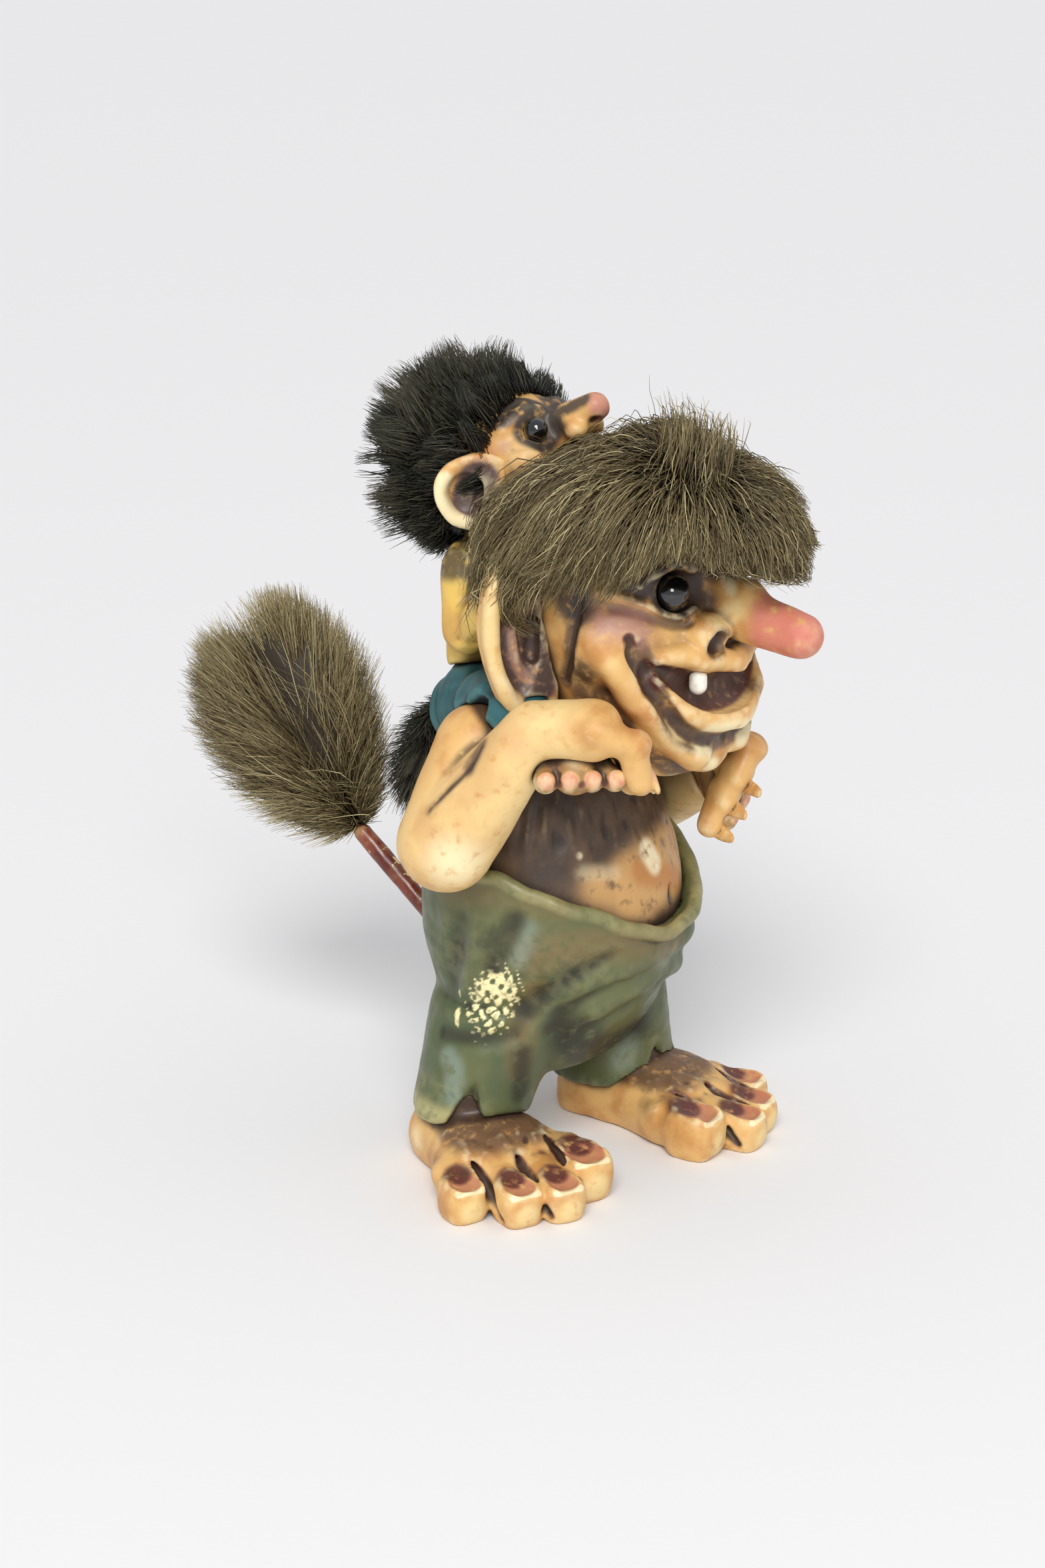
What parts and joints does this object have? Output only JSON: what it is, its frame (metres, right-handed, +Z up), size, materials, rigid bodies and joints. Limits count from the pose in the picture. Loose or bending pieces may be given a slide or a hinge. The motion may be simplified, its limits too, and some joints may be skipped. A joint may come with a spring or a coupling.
{
  "type": "troll figure",
  "caption": "Standing troll with a long round nose, fur hair and a bendable tufted tail, carrying a smaller troll on its shoulders.",
  "frame": {"origin": "on the floor under the middle of the figure's outline box", "axes": "+Z up, the figure faces -Y, its right side is -X"},
  "size_m": [0.1008, 0.1604, 0.1715],
  "materials": {
    "skin": "painted matte",
    "trouser_green": "painted matte",
    "torso_brown": "painted matte",
    "glass_eye": "polished",
    "tooth_white": "satin",
    "fur_olive": "long pile",
    "stalk_red": "gloss paint",
    "wire": "plain",
    "child_teal": "painted matte",
    "child_yellow": "painted matte",
    "fur_black": "long pile"
  },
  "bodies": {
    "figure": {"torso": "torso_brown", "trousers": "trouser_green", "right_foot": "skin", "left_foot": "skin", "right_arm": "skin", "left_arm": "skin", "head": "skin", "right_ear": "skin", "left_ear": "skin", "right_eye": "glass_eye", "left_eye": "glass_eye", "tooth": "tooth_white", "hair": "fur_olive", "child_trousers": "child_teal", "child_right_foot": "skin", "child_left_foot": "skin", "child_torso": "child_yellow", "child_head": "skin", "child_right_ear": "skin", "child_left_ear": "skin", "child_right_eye": "glass_eye", "child_left_eye": "glass_eye", "child_hair": "fur_black"},
    "tail": {"tail_stalk": "stalk_red", "tail_wire": "wire"},
    "tuft": {"tail_tuft": "fur_olive"},
    "child_tail": {"child_tail_stalk": "stalk_red", "child_tail_tuft": "fur_black"}
  },
  "joints": [
    {"name": "tail_bend", "type": "hinge", "parent": "figure", "child": "tail", "pos_m": [0.0033, 0.0091, 0.04], "axis": [1, 0, 0], "range_deg": [-30, 0]},
    {"name": "tuft_sway", "type": "hinge", "parent": "tail", "child": "tuft", "pos_m": [0.0033, 0.03401, 0.06165], "axis": [0, -0.788, 0.6157], "range_deg": [-18, 18]},
    {"name": "child_tail_sway", "type": "hinge", "parent": "figure", "child": "child_tail", "pos_m": [0.0033, 0.0075, 0.1], "axis": [0, 0, 1], "range_deg": [-12, 12]}
  ]
}
